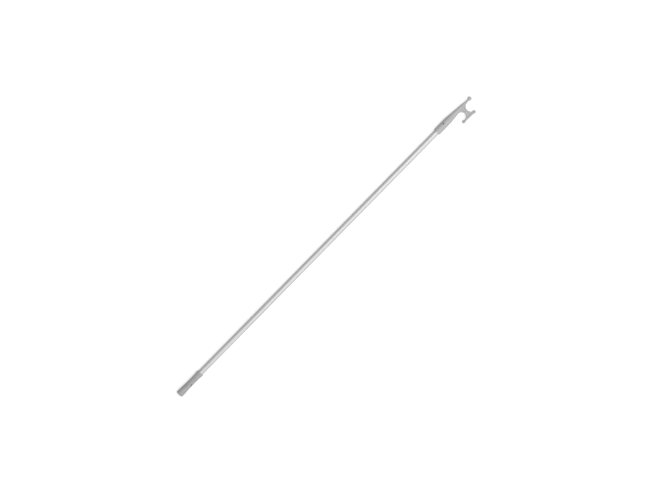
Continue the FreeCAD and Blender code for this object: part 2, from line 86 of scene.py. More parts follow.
def length(name, description, default, **limits):
    """A distance that a user may change, given in millimetres and kept in metres."""
    return FloatProperty(
        name=name, description=description, default=default * MM, unit="LENGTH", precision=5, **limits
    )


def turn(name, description, degrees):
    """An angle that a user may change, given in degrees."""
    return FloatProperty(name=name, description=description, default=math.radians(degrees), unit="ROTATION")


def colour(name, description, shade):
    """A colour that a user may change."""
    return FloatVectorProperty(
        name=name, description=description, default=shade, subtype="COLOR", size=3, min=0.0, max=1.0
    )


# ------------------------------------------------------------
# Sizes and colours
# ------------------------------------------------------------


class PoleSizes(PropertyGroup):
    """Sizes of the drawn tube."""

    start: FloatProperty(
        name="Start", description="Where the tube starts, inside the grip", default=POLE_BOX[0].x, unit="LENGTH"
    )
    end: FloatProperty(
        name="End", description="Where the tube ends, inside the head", default=POLE_BOX[1].x, unit="LENGTH"
    )
    diameter: length("Diameter", "Outside diameter of the tube", 25)
    wall: length("Wall", "Wall thickness of the tube", 1.2)
    burr: length("Edge break", "Chamfer that takes the burr off the sawn ends", 0.2)
    segments: IntProperty(name="Segments", description="Faces round the tube", default=128, min=32)


class GripSizes(PropertyGroup):
    """Sizes of the closed hand grip, measured from its butt end."""

    length: FloatProperty(
        name="Length", description="From the butt end to the collar's lip", default=GRIP_BOX[1].x, unit="LENGTH"
    )
    bore: length("Bore", "Diameter of the bore that takes the pole", 25.1)
    end_wall: length("End wall", "Thickness of the closed butt", 5)
    flare: length("Flare", "Diameter at the butt", 32)
    flare_place: length("Flare place", "Where the flare starts to draw in", 18)
    waist: length("Waist", "Smallest diameter", 27.6)
    waist_place: length("Waist place", "Where the grip is thinnest", 74)
    collar: length("Collar", "Diameter of the collar", 31)
    collar_length: length("Collar length", "Length of the collar", 12)
    collar_height: length("Collar height", "Step up from the grip to the collar", 0.8)
    butt_round: length("Butt round", "Radius round the butt", 4.5)
    lip_round: length("Lip round", "Radius of the collar's lips", 0.6)
    segments: IntProperty(name="Segments", description="Faces round the grip", default=128, min=32)


class HeadSizes(PropertyGroup):
    """Sizes of the moulded hook head, measured from the mouth of its socket."""

    mouth: FloatProperty(
        name="Mouth", description="Where the socket opens", default=HEAD_BOX[0].x, unit="LENGTH"
    )
    length: FloatProperty(
        name="Length", description="From the mouth to the tip", default=HEAD_BOX[1].x - HEAD_BOX[0].x, unit="LENGTH"
    )
    socket: length("Socket", "Outside diameter of the socket", 33)
    socket_length: length("Socket length", "Length of the straight socket", 68)
    bore: length("Bore", "Diameter of the bore that takes the pole", 25.1)
    bore_depth: length("Bore depth", "Depth of that bore", 62)
    lead_in: length("Lead-in", "Chamfer at the mouth of the bore", 0.8)
    mouth_round: length("Mouth round", "Radius round the mouth", 1.5)
    core: length("Core", "Diameter of the hollow core where it meets the bore", 19)
    core_end: length("Core end", "Diameter of the core at its far end", 8)
    core_length: length("Core length", "Length of the core", 60)
    shoulder: length("Shoulder round", "Radius between the socket and the tapered arm", 80)
    neck: length("Neck", "Diameter of the arm behind the tip", 9.6)
    neck_round: length("Neck round", "Radius that sweeps the neck into the tip", 9)
    tip: length("Tip", "Diameter of the round tip", 18.4)
    bar: length("Crossbar", "Diameter of the crossbar", 9)
    bar_ball: length("Crossbar ends", "Diameter of the crossbar's round ends", 15)
    bar_round: length("Crossbar neck round", "Radius that sweeps the crossbar into its ends", 6)
    bar_span: length("Crossbar span", "Distance between the middles of its round ends", 62)
    bar_place: length("Crossbar place", "Where the middle of the crossbar stands", 145)
    bar_drop: length("Crossbar drop", "From the pole's axis to the crossbar's", 53.6)
    bar_toe: turn("Crossbar toe", "How far the crossbar leans away from the pole towards the tip", 1.85)
    web_place: length("Web place", "Where the waist of the web stands", 151)
    web_waist: length("Web waist", "Width of the web at its waist", 18)
    web: length("Web", "Thickness of the web", 3.6)
    rim: length("Rim", "Diameter of the round rims along the web", 7.2)
    rim_reach: turn("Rim reach", "How far the front rim runs past the waist towards the crossbar", 70)
    overlap: length("Rim overlap", "How deep a rim runs into the arm and the crossbar", 0.2)
    voxel: length("Voxel", "Grain of the moulded skin", 0.6, min=0.3 * MM)
    melt: IntProperty(name="Melt", description="Smoothing passes that round the moulding's inner corners", default=7)


class RivetSizes(PropertyGroup):
    """Sizes and places of the blind rivets."""

    hole: length("Hole", "Diameter of the drilled holes", 3.3)
    shank: length("Shank", "Diameter of the shank", 3.2)
    head: length("Head", "Diameter of the domed head", 6.5)
    head_height: length("Head height", "Height of the domed head", 1.1)
    head_edge: length("Head edge", "Height of the head's straight edge", 0.3)
    seat: length("Seat", "Diameter of the seat sunk in the plastic", 7.4)
    bulb: length("Bulb", "Diameter of the blind end", 4.8)
    bulb_height: length("Bulb height", "Length of the blind end", 2.2)
    bulb_gap: length("Bulb gap", "Gap between the blind end and the tube", 0.05)
    stem: length("Stem", "Diameter of the pulling stem", 1.8)
    stem_gap: length("Stem gap", "Slack between the stem and its hole", 0.04)
    stem_head: length("Stem head", "Height of the stem's blind head", 1.6)
    stem_recess: length("Stem recess", "How far inside the head the stem breaks", 0.3)
    head_place: length("Head rivet place", "Distance of the head's rivets from the mouth of the socket", 45)
    head_turn: turn("Head rivet turn", "How far the head's rivets are turned about the pole", -16)
    head_seat: length("Head seat", "Distance of the head's rivet seats from the pole's axis", 15.3)
    grip_place: length("Grip rivet place", "Distance of the grip's rivet from the butt", 67)
    grip_turn: turn("Grip rivet turn", "How far the grip's rivet is turned about the pole", 44)
    grip_seat: length("Grip seat", "Distance of the grip's rivet seat from the pole's axis", 13.35)
    segments: IntProperty(name="Segments", description="Faces round a rivet", default=48, min=16)


class Finishes(PropertyGroup):
    """Colours of the finishes."""

    aluminium: colour("Aluminium", "Satin anodised tube", (0.67, 0.67, 0.675))
    aluminium_worn: colour("Worn aluminium", "Tube where hands have dulled it", (0.582, 0.582, 0.587))
    nylon: colour("Nylon", "Moulded head", (0.385, 0.385, 0.39))
    nylon_pale: colour("Pale nylon", "Head where edges are rubbed", (0.53, 0.53, 0.535))
    vinyl: colour("Vinyl", "Hand grip", (0.33, 0.33, 0.333))
    vinyl_dark: colour("Handled vinyl", "Grip where hands have polished it", (0.275, 0.275, 0.278))
    # rivets are coloured dark grey; the finish that makes them dark is not known
    rivet: colour("Rivet", "Dark anodised rivet", (0.13, 0.13, 0.135))
    rivet_bare: colour("Bare rivet", "Rivet where its edge is rubbed bright", (0.42, 0.42, 0.43))
    stem: colour("Stem", "Broken steel stem", (0.26, 0.25, 0.24))
    plug: colour("Plug", "Black end plug", (0.03, 0.03, 0.032))
    floor: colour("Floor", "Studio floor", (0.62, 0.62, 0.62))


class StageSizes(PropertyGroup):
    """The camera, the lights and the floor."""

    focal: FloatProperty(name="Focal length", description="Camera lens, in millimetres", default=100, min=20)
    view_width: length("View width", "Width of the view in the plane of the pole", 2816.6)
    roll: turn("Roll", "Slope of the pole in the view, from level up to the right", 45.54)
    aim: FloatVectorProperty(
        name="Aim", description="Where the camera aims, in shares of the object's length and width",
        default=(0.49855, 0.6886), size=2,
    )
    floor_size: length("Floor size", "Half the width of the floor", 30000)
    floor_glow: FloatProperty(name="Floor glow", description="Glow of the floor that only the camera sees", default=0.5)
    key_power: FloatProperty(name="Key power", description="Power of the large soft light", default=100, min=0)
    key_size: length("Key size", "Width of the large soft light", 2400)
    key_distance: length("Key distance", "Distance of the large soft light", 4600)
    key_height: turn("Key height", "Height of the large soft light above the floor", 75)
    key_side: turn("Key side", "Bearing of the large soft light from the -Y axis, towards the grip", 0)
    key_shift: length("Key shift", "How far the large soft light is moved towards the head", 800)
    sky_bright: FloatProperty(name="Bright sky", description="Strength of the even light on the key's side", default=1.0)
    sky_dim: FloatProperty(name="Dim sky", description="Strength of the even light on the far side", default=0.42)
    sky_side: turn("Sky side", "Bearing of the bright sky from the -Y axis, towards the grip", 0)


class BoatHookSettings(PropertyGroup):
    """Everything that a user may change."""

    pole: PointerProperty(type=PoleSizes, name="Pole", description="The drawn tube")
    grip: PointerProperty(type=GripSizes, name="Grip", description="The hand grip")
    head: PointerProperty(type=HeadSizes, name="Head", description="The moulded hook head")
    rivets: PointerProperty(type=RivetSizes, name="Rivets", description="The blind rivets")
    finishes: PointerProperty(type=Finishes, name="Finishes", description="The colours")
    stage: PointerProperty(type=StageSizes, name="Stage", description="The camera, lights and floor")


# ------------------------------------------------------------
# Modelling helpers
# ------------------------------------------------------------


class Outline:
    """A profile drawn with a pen in the XY plane: X runs along the axis that it is turned about."""

    def __init__(self, along, out):
        self.mesh = bmesh.new()
        self.pen = self.mesh.verts.new((along, out, 0))

    def line(self, along, out):
        """Draw a straight run."""
        step = bmesh.ops.extrude_vert_indiv(self.mesh, verts=[self.pen])
        self.pen = step["verts"][0]
        self.pen.co = (along, out, 0)

    def arc(self, along, out, angle, steps):
        """Draw an arc about a centre."""
        swept = bmesh.ops.spin(
            self.mesh, geom=[self.pen], cent=(along, out, 0), axis=UPRIGHT, angle=angle, steps=steps
        )
        self.pen = [item for item in swept["geom_last"] if isinstance(item, bmesh.types.BMVert)][0]

    def turned(self, segments):
        """Turn the outline full circle about the X axis and close it."""
        mesh = self.mesh
        bmesh.ops.spin(
            mesh, geom=mesh.verts[:] + mesh.edges[:], cent=(0, 0, 0), axis=POLE_AXIS,
            angle=FULL, steps=segments, use_merge=True,
        )
        bmesh.ops.remove_doubles(mesh, verts=mesh.verts[:], dist=MERGE)
        bmesh.ops.recalc_face_normals(mesh, faces=mesh.faces[:])
        return mesh


def placed(mesh, *moves):
    """Apply moves to a whole bmesh, the last one first."""
    whole = Matrix.Identity(4)
    for move in moves:
        whole = whole @ move
    bmesh.ops.transform(mesh, matrix=whole, verts=mesh.verts[:])
    return mesh


def gathered(parts):
    """Put several bmeshes in one."""
    whole = bmesh.new()
    for part in parts:
        carrier = bpy.data.meshes.new("carrier")
        part.to_mesh(carrier)
        part.free()
        whole.from_mesh(carrier)
        bpy.data.meshes.remove(carrier)
    return whole


def as_object(mesh, name):
    """Make an object of a bmesh, with its place in the mesh."""
    data = bpy.data.meshes.new(name)
    mesh.to_mesh(data)
    mesh.free()
    piece = bpy.data.objects.new(name, data)
    bpy.context.scene.collection.objects.link(piece)
    return piece


def cut(piece, cutter_mesh):
    """Add a Boolean that takes a cutter out of a piece, and return the cutter."""
    cutter = as_object(cutter_mesh, f"{piece.name}_cutter")
    knife = piece.modifiers.new("cut", "BOOLEAN")
    knife.operation = "DIFFERENCE"
    knife.solver = "EXACT"
    knife.object = cutter
    return cutter


def settle(piece, cutters=()):
    """Apply all modifiers of a piece, drop its cutters and shade it smooth up to its real edges."""
    seen = piece.evaluated_get(bpy.context.evaluated_depsgraph_get())
    data = bpy.data.meshes.new_from_object(seen)
    piece.modifiers.clear()
    old, piece.data = piece.data, data
    bpy.data.meshes.remove(old)
    data.name = piece.name
    for cutter in cutters:
        drawn = cutter.data
        bpy.data.objects.remove(cutter)
        bpy.data.meshes.remove(drawn)
    data.shade_smooth()
    data.set_sharp_from_angle(angle=SHARP)
    if not data.polygons:
        raise RuntimeError(f"{piece.name} came out empty")


def declare(piece, slot, material, *nodes):
    """Give a piece its finish, hang it on the root body and hide the frame parts that it stands in for."""
    piece.data.materials.clear()
    piece.data.materials.append(material)
    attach(piece, "root")
    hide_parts(*nodes)


def neck_sweep(bar, ball, fillet):
    """The run and the angle of a fillet between a round bar and the ball that ends it."""
    run = math.sqrt((ball + fillet) ** 2 - (bar + fillet) ** 2)
    return run, math.atan2(run, bar + fillet)


def rivet_axis(along, angle):
    """The move that lays the X axis along a rivet, outwards from the pole's axis."""
    return (
        Matrix.Translation((along, 0, 0)) @ Matrix.Rotation(angle, 4, POLE_AXIS) @ Matrix.Rotation(-QUARTER, 4, "Y")
    )


def drill(rivets, along, angle, seat, reach):
    """The shape that a drill and a counterbore take away, from the pole's axis outwards."""
    outline = Outline(0, 0)
    outline.line(0, rivets.hole / 2)
    outline.line(seat, rivets.hole / 2)
    if reach > seat:
        outline.line(seat, rivets.seat / 2)
        outline.line(reach, rivets.seat / 2)
    outline.line(max(reach, seat), 0)
    return placed(outline.turned(rivets.segments), rivet_axis(along, angle))


# ------------------------------------------------------------
# Node groups that several finishes share
# ------------------------------------------------------------


def add(tree, kind, values=None, **settings):
    """Add a node with its settings and the values of its unlinked sockets."""
    node = tree.nodes.new(kind)
    for name, value in settings.items():
        setattr(node, name, value)
    for name, value in (values or {}).items():
        node.inputs[name].default_value = value
    return node


def new_group(name, inputs, outputs):
    """An empty shader group with named sockets; inputs give each socket's type and default."""
    tree = bpy.data.node_groups.new(name, "ShaderNodeTree")
    for socket, (kind, default) in inputs.items():
        made = tree.interface.new_socket(name=socket, in_out="INPUT", socket_type=kind)
        if default is not None:
            made.default_value = default
    for socket in outputs:
        tree.interface.new_socket(name=socket, in_out="OUTPUT", socket_type="NodeSocketFloat")
    return tree, tree.nodes.new("NodeGroupInput"), tree.nodes.new("NodeGroupOutput")


def noise(tree, vector, scale, detail, roughness=0.55):
    """A noise texture read at a vector."""
    node = add(tree, "ShaderNodeTexNoise", {"Detail": detail, "Roughness": roughness})
    tree.links.new(vector, node.inputs["Vector"])
    if isinstance(scale, bpy.types.NodeSocket):
        tree.links.new(scale, node.inputs["Scale"])
    else:
        node.inputs["Scale"].default_value = scale
    return node.outputs["Fac"]


def stretched(tree, vector, scale):
    """A vector scaled differently along each axis."""
    node = add(tree, "ShaderNodeMapping", {"Scale": scale})
    tree.links.new(vector, node.inputs["Vector"])
    return node.outputs["Vector"]


def ramp(tree, value, low, high, to_low=0.0, to_high=1.0):
    """Map a range of a value smoothly to another range."""
    node = add(
        tree, "ShaderNodeMapRange",
        {"From Min": low, "From Max": high, "To Min": to_low, "To Max": to_high},
        interpolation_type="SMOOTHSTEP",
    )
    tree.links.new(value, node.inputs["Value"])
    return node.outputs["Result"]


def calc(tree, operation, *terms, clamp=False):
    """A math node over sockets and numbers."""
    node = add(tree, "ShaderNodeMath", operation=operation, use_clamp=clamp)
    for number, term in enumerate(terms):
        if isinstance(term, bpy.types.NodeSocket):
            tree.links.new(term, node.inputs[number])
        else:
            node.inputs[number].default_value = term
    return node.outputs["Value"]


def build_draw_lines():
    """Fine lines that a die leaves along a drawn tube."""
    tree, inlet, outlet = new_group(
        "draw lines",
        {"Vector": ("NodeSocketVector", None), "Scale": ("NodeSocketFloat", 2600.0)},
        ("Height", "Streak"),
    )
    along = stretched(tree, inlet.outputs["Vector"], (0.004, 1, 1))
    fine = noise(tree, along, inlet.outputs["Scale"], 3)
    coarse = noise(tree, stretched(tree, inlet.outputs["Vector"], (0.012, 1, 1)), 420, 4, 0.7)
    tree.links.new(calc(tree, "ADD", calc(tree, "MULTIPLY", fine, 0.6), calc(tree, "MULTIPLY", coarse, 0.4)),
                   outlet.inputs["Height"])
    tree.links.new(ramp(tree, coarse, 0.42, 0.72), outlet.inputs["Streak"])
    return tree


def build_mould_grain():
    """The spark-eroded grain of a mould, with the soft flow marks of the plastic."""
    tree, inlet, outlet = new_group(
        "mould grain",
        {"Vector": ("NodeSocketVector", None), "Grain": ("NodeSocketFloat", 2200.0)},
        ("Height", "Tone"),
    )
    vector = inlet.outputs["Vector"]
    grain = noise(tree, vector, inlet.outputs["Grain"], 5, 0.62)
    pits = add(tree, "ShaderNodeTexVoronoi", feature="SMOOTH_F1")
    tree.links.new(vector, pits.inputs["Vector"])
    tree.links.new(calc(tree, "MULTIPLY", inlet.outputs["Grain"], 0.45), pits.inputs["Scale"])
    waves = noise(tree, stretched(tree, vector, (0.35, 1, 1)), 38, 3)
    height = calc(tree, "ADD", grain, calc(tree, "MULTIPLY", pits.outputs["Distance"], 0.5))
    tree.links.new(calc(tree, "ADD", height, calc(tree, "MULTIPLY", waves, 1.5)), outlet.inputs["Height"])
    tree.links.new(ramp(tree, waves, 0.3, 0.7), outlet.inputs["Tone"])
    return tree


def build_handling():
    """Rubs and hairline scratches from use: a broad mask and a fine one."""
    tree, inlet, outlet = new_group(
        "handling",
        {"Vector": ("NodeSocketVector", None), "Patch": ("NodeSocketFloat", 30.0),
         "Amount": ("NodeSocketFloat", 0.5)},
        ("Rub", "Scratch"),
    )
    vector = inlet.outputs["Vector"]
    patch = noise(tree, vector, inlet.outputs["Patch"], 6, 0.6)
    edge = calc(tree, "SUBTRACT", 0.78, calc(tree, "MULTIPLY", inlet.outputs["Amount"], 0.4))
    rub = calc(tree, "MULTIPLY", calc(tree, "SUBTRACT", patch, edge), 5.0, clamp=True)
    tree.links.new(rub, outlet.inputs["Rub"])
    hairs = None
    for angle, scale in ((0.3, 900), (-0.7, 1300)):
        turned = add(tree, "ShaderNodeMapping", {"Rotation": (0.2, 0.4, angle), "Scale": (0.03, 1, 1)})
        tree.links.new(vector, turned.inputs["Vector"])
        hair = ramp(tree, noise(tree, turned.outputs["Vector"], scale, 1), 0.66, 0.72)
        hairs = hair if hairs is None else calc(tree, "MAXIMUM", hairs, hair)
    sparse = ramp(tree, noise(tree, vector, 22, 2), 0.5, 0.7)
    tree.links.new(calc(tree, "MULTIPLY", hairs, sparse), outlet.inputs["Scratch"])
    return tree


def build_mould_seam():
    """The thin raised line where the two halves of a mould met, on the plane that holds the hook."""
    tree, inlet, outlet = new_group(
        "mould seam",
        {"Vector": ("NodeSocketVector", None), "Width": ("NodeSocketFloat", 0.00035)},
        ("Line",),
    )
    split = add(tree, "ShaderNodeSeparateXYZ")
    tree.links.new(inlet.outputs["Vector"], split.inputs[0])
    wander = calc(tree, "MULTIPLY", noise(tree, inlet.outputs["Vector"], 60, 2), 0.00008)
    off = calc(tree, "ABSOLUTE", calc(tree, "SUBTRACT", calc(tree, "ADD", split.outputs["Z"], wander), 0.00004))
    share = calc(tree, "DIVIDE", off, inlet.outputs["Width"])
    tree.links.new(ramp(tree, share, 0.35, 1.0, 1.0, 0.0), outlet.inputs["Line"])
    return tree


def build_edge_rub():
    """A mask of outer edges and small bumps, broken up so that it never looks drawn."""
    tree, inlet, outlet = new_group(
        "edge rub",
        {"Vector": ("NodeSocketVector", None), "Break": ("NodeSocketFloat", 260.0)},
        ("Mask",),
    )
    form = add(tree, "ShaderNodeNewGeometry")
    sharp = ramp(tree, form.outputs["Pointiness"], 0.53, 0.62)
    broken = ramp(tree, noise(tree, inlet.outputs["Vector"], inlet.outputs["Break"], 5), 0.35, 0.62)
    tree.links.new(calc(tree, "MULTIPLY", sharp, broken), outlet.inputs["Mask"])
    return tree


GROUPS = {
    "draw lines": build_draw_lines,
    "mould grain": build_mould_grain,
    "handling": build_handling,
    "mould seam": build_mould_seam,
    "edge rub": build_edge_rub,
}


def group(name):
    """A shared group, built the first time that it is asked for."""
    return bpy.data.node_groups.get(name) or GROUPS[name]()


# ------------------------------------------------------------
# Finishes
# ------------------------------------------------------------


class Finish:
    """A material in the making: its tree, its shader and the object coordinates that patterns read."""

    def __init__(self, name, **shader):
        self.material = bpy.data.materials.new(name)
        self.material.use_nodes = True
        self.tree = self.material.node_tree
        self.tree.nodes.clear()
        self.shader = self.tree.nodes.new("ShaderNodeBsdfPrincipled")
        outlet = self.tree.nodes.new("ShaderNodeOutputMaterial")
        self.tree.links.new(self.shader.outputs[0], outlet.inputs["Surface"])
        self.place = self.tree.nodes.new("ShaderNodeTexCoord").outputs["Object"]
        for socket, value in shader.items():
            self.shader.inputs[socket.replace("_", " ")].default_value = value

    def use(self, name, **values):
        """Place a shared group with its own values."""
        node = self.tree.nodes.new("ShaderNodeGroup")
        node.node_tree = group(name)
        self.tree.links.new(self.place, node.inputs["Vector"])
        for socket, value in values.items():
            node.inputs[socket].default_value = value
        return node.outputs

    def mixed(self, mask, first, second):
        """Blend two colours by a mask; either may be a colour or a socket."""
        node = self.tree.nodes.new("ShaderNodeMix")
        node.data_type = "RGBA"
        self.tree.links.new(mask, node.inputs["Factor"])
        for socket, shade in ((node.inputs[6], first), (node.inputs[7], second)):
            if isinstance(shade, bpy.types.NodeSocket):
                self.tree.links.new(shade, socket)
            else:
                socket.default_value = (*shade, 1.0)
        return node.outputs[2]

    def feed(self, socket, source):
        """Link a source to the shader."""
        self.tree.links.new(source, self.shader.inputs[socket])

    def bump(self, height, distance, strength=1.0, under=None):
        """Raise the surface by a height, over an earlier bump where one is given."""
        node = add(self.tree, "ShaderNodeBump", {"Strength": strength, "Distance": distance})
        self.tree.links.new(height, node.inputs["Height"])
        if under is not None:
            self.tree.links.new(under, node.inputs["Normal"])
        return node.outputs["Normal"]


def drawn_aluminium(finishes):
    """Satin anodised tube: lengthwise draw lines, and a duller patina where it is handled."""
    finish = Finish("drawn aluminium", Metallic=1.0, IOR=1.45, Anisotropic=0.0)
    tree = finish.tree
    lines = finish.use("draw lines", Scale=2600.0)
    wear = finish.use("handling", Patch=9.0, Amount=0.42)
    patina = calc(tree, "MULTIPLY", wear["Rub"], 0.35)
    shade = finish.mixed(patina, finishes.aluminium, finishes.aluminium_worn)
    shade = finish.mixed(calc(tree, "MULTIPLY", lines["Streak"], 0.22), shade, finishes.aluminium_worn)
    finish.feed("Base Color", shade)
    dull = calc(tree, "ADD", 0.66, calc(tree, "MULTIPLY", lines["Streak"], 0.08))
    dull = calc(tree, "ADD", dull, calc(tree, "MULTIPLY", wear["Rub"], 0.07))
    finish.feed("Roughness", calc(tree, "ADD", dull, calc(tree, "MULTIPLY", wear["Scratch"], 0.1)))
    finish.feed("Normal", finish.bump(lines["Height"], 0.00002, 0.5))
    return finish.material


def moulded_nylon(finishes):
    """Filled nylon: fine mould grain, a parting line, pale rubbed edges and a few scuffs."""
    finish = Finish("moulded nylon", IOR=1.53)
    tree = finish.tree
    grain = finish.use("mould grain", Grain=2300.0)
    seam = finish.use("mould seam", Width=0.0004)
    rub = finish.use("edge rub", Break=240.0)
    wear = finish.use("handling", Patch=42.0, Amount=0.5)
    shade = finish.mixed(calc(tree, "MULTIPLY", grain["Tone"], 0.22), finishes.nylon, finishes.nylon_pale)
    shade = finish.mixed(calc(tree, "MULTIPLY", rub["Mask"], 0.55), shade, finishes.nylon_pale)
    shade = finish.mixed(calc(tree, "MULTIPLY", wear["Scratch"], 0.35), shade, finishes.nylon_pale)
    finish.feed("Base Color", shade)
    dull = calc(tree, "SUBTRACT", 0.46, calc(tree, "MULTIPLY", wear["Rub"], 0.08))
    dull = calc(tree, "ADD", dull, calc(tree, "MULTIPLY", grain["Tone"], 0.05))
    finish.feed("Roughness", calc(tree, "ADD", dull, calc(tree, "MULTIPLY", wear["Scratch"], 0.12)))
    raised = finish.bump(grain["Height"], 0.00006, 0.35)
    finish.feed("Normal", finish.bump(seam["Line"], 0.00015, 0.8, raised))
    return finish.material


def grip_vinyl(finishes):
    """Soft vinyl: pebbled grain, a parting line, and the polish that hands leave."""
    finish = Finish("grip vinyl", IOR=1.5, Sheen_Weight=0.06, Sheen_Roughness=0.5)
    tree = finish.tree
    grain = finish.use("mould grain", Grain=1500.0)
    seam = finish.use("mould seam", Width=0.0005)
    rub = finish.use("edge rub", Break=200.0)
    wear = finish.use("handling", Patch=34.0, Amount=0.6)
    shade = finish.mixed(calc(tree, "MULTIPLY", wear["Rub"], 0.6), finishes.vinyl, finishes.vinyl_dark)
    shade = finish.mixed(calc(tree, "MULTIPLY", grain["Tone"], 0.2), shade, finishes.nylon_pale)
    shade = finish.mixed(calc(tree, "MULTIPLY", rub["Mask"], 0.4), shade, finishes.nylon_pale)
    finish.feed("Base Color", shade)
    dull = calc(tree, "SUBTRACT", 0.6, calc(tree, "MULTIPLY", wear["Rub"], 0.12))
    finish.feed("Roughness", calc(tree, "ADD", dull, calc(tree, "MULTIPLY", wear["Scratch"], 0.1)))
    raised = finish.bump(grain["Height"], 0.00012, 0.45)
    finish.feed("Normal", finish.bump(seam["Line"], 0.00018, 0.7, raised))
    return finish.material


def rivet_metal(finishes):
    """Dark grey metal, rubbed bright on the dome."""
    finish = Finish("rivet metal", Metallic=1.0)
    tree = finish.tree
    grain = finish.use("mould grain", Grain=5200.0)
    wear = finish.use("handling", Patch=700.0, Amount=0.5)
    bright = calc(tree, "MULTIPLY", wear["Rub"], 0.5)
    finish.feed("Base Color", finish.mixed(bright, finishes.rivet, finishes.rivet_bare))
    finish.feed("Roughness", calc(tree, "ADD", 0.34, calc(tree, "MULTIPLY", grain["Tone"], 0.12)))
    finish.feed("Normal", finish.bump(grain["Height"], 0.00002, 0.4))
    return finish.material


def stem_steel(finishes):
    """The grey broken face of a steel stem."""
    finish = Finish("stem steel", Metallic=1.0)
    tree = finish.tree
    grain = finish.use("mould grain", Grain=4200.0)
    wear = finish.use("handling", Patch=1600.0, Amount=0.6)
    finish.feed("Base Color", finish.mixed(wear["Rub"], finishes.stem, finishes.rivet))
    finish.feed("Roughness", calc(tree, "ADD", 0.42, calc(tree, "MULTIPLY", grain["Tone"], 0.15)))
    finish.feed("Normal", finish.bump(grain["Height"], 0.00008, 0.7))
    return finish.material


def plug_plastic(finishes):
    """Black plastic of the end plugs."""
    finish = Finish("plug plastic", IOR=1.5)
    tree = finish.tree
    grain = finish.use("mould grain", Grain=2600.0)
    bloom = calc(tree, "MULTIPLY", grain["Tone"], 0.3)
    finish.feed("Base Color", finish.mixed(bloom, finishes.plug, finishes.rivet))
    finish.feed("Roughness", calc(tree, "ADD", 0.45, calc(tree, "MULTIPLY", grain["Tone"], 0.08)))
    finish.feed("Normal", finish.bump(grain["Height"], 0.00005, 0.4))
    return finish.material


def studio_floor(finishes, glow):
    """Plain pale floor with a barely seen mottle, and a glow that only the camera sees."""
    finish = Finish("studio floor", Specular_IOR_Level=0.2, Emission_Color=(1, 1, 1, 1))
    tree = finish.tree
    mottle = noise(tree, finish.place, 3.0, 4)
    pale = finishes.floor
    finish.feed("Base Color", finish.mixed(ramp(tree, mottle, 0.3, 0.7), pale, [part * 0.985 for part in pale]))
    finish.feed("Roughness", ramp(tree, mottle, 0.2, 0.8, 0.82, 0.9))
    seen = tree.nodes.new("ShaderNodeLightPath").outputs["Is Camera Ray"]
    finish.feed("Emission Strength", calc(tree, "MULTIPLY", seen, glow))
    return finish.material


# ------------------------------------------------------------
# Operators
# ------------------------------------------------------------


class BOATHOOK_OT_pole(Operator):
    """Turn the drawn tube and drill it for its rivets"""

    bl_idname = "boat_hook.make_pole"
    bl_label = "Make Pole"

    def execute(self, context):
        settings = context.scene.boat_hook
        pole, rivets = settings.pole, settings.rivets
        grip_rivet = rivets.grip_place
        head_rivet = settings.head.mouth + rivets.head_place
        outside, inside = pole.diameter / 2, pole.diameter / 2 - pole.wall
        outline = Outline(pole.start, inside + pole.burr)
        outline.line(pole.start, outside - pole.burr)
        outline.line(pole.start + pole.burr, outside)
        near = 2 * rivets.seat
        stations = [grip_rivet - near, grip_rivet + near, head_rivet - near, pole.end - pole.burr]
        for station in stations:
            outline.line(station, outside)
        outline.line(pole.end, outside - pole.burr)
        outline.line(pole.end, inside + pole.burr)
        outline.line(pole.end - pole.burr, inside)
        for station in reversed(stations[:-1]):
            outline.line(station, inside)
        outline.line(pole.start + pole.burr, inside)
        outline.line(pole.start, inside + pole.burr)
        piece = as_object(outline.turned(pole.segments), "pole")
        holes = [
            drill(rivets, grip_rivet, rivets.grip_turn, pole.diameter, 0),
            drill(rivets, head_rivet, rivets.head_turn, pole.diameter, 0),
            drill(rivets, head_rivet, rivets.head_turn + HALF, pole.diameter, 0),
        ]
        settle(piece, [cut(piece, hole) for hole in holes])
        declare(piece, "pole", drawn_aluminium(settings.finishes), "pole_tube")
        return {"FINISHED"}


class BOATHOOK_OT_grip(Operator):
    """Turn the closed hand grip, with its flare, waist and collar"""

    bl_idname = "boat_hook.make_grip"
    bl_label = "Make Grip"

    def execute(self, context):
        settings = context.scene.boat_hook
        grip, rivets = settings.grip, settings.rivets
        flare, waist, collar, bore = grip.flare / 2, grip.waist / 2, grip.collar / 2, grip.bore / 2
        collar_start = grip.length - grip.collar_length
        foot = collar - grip.collar_height
        lip = grip.lip_round
        outline = Outline(0, 0)
        outline.line(0, flare - grip.butt_round)
        outline.arc(grip.butt_round, flare - grip.butt_round, -QUARTER, 10)
        outline.line(grip.flare_place, flare)
        for place, radius, steps in ((grip.flare_place, flare, 24), (collar_start, foot, 20)):
            run, rise = abs(grip.waist_place - place), radius - waist
            bend = (run * run + rise * rise) / (2 * rise)
            outline.arc(grip.waist_place, waist + bend, math.asin(run / bend), steps)
        outline.line(collar_start, collar - lip)
        outline.arc(collar_start + lip, collar - lip, -QUARTER, 6)
        outline.line(grip.length - lip, collar)
        outline.arc(grip.length - lip, collar - lip, -QUARTER, 6)
        outline.line(grip.length, bore + lip / 2)
        outline.arc(grip.length - lip / 2, bore + lip / 2, -QUARTER, 4)
        outline.line(grip.end_wall, bore)
        outline.line(grip.end_wall, 0)
        piece = as_object(outline.turned(grip.segments), "grip")
        seat = drill(rivets, rivets.grip_place, rivets.grip_turn, rivets.grip_seat, grip.flare)
        settle(piece, [cut(piece, seat)])
        declare(piece, "grip", grip_vinyl(settings.finishes), "hand_grip")
        return {"FINISHED"}


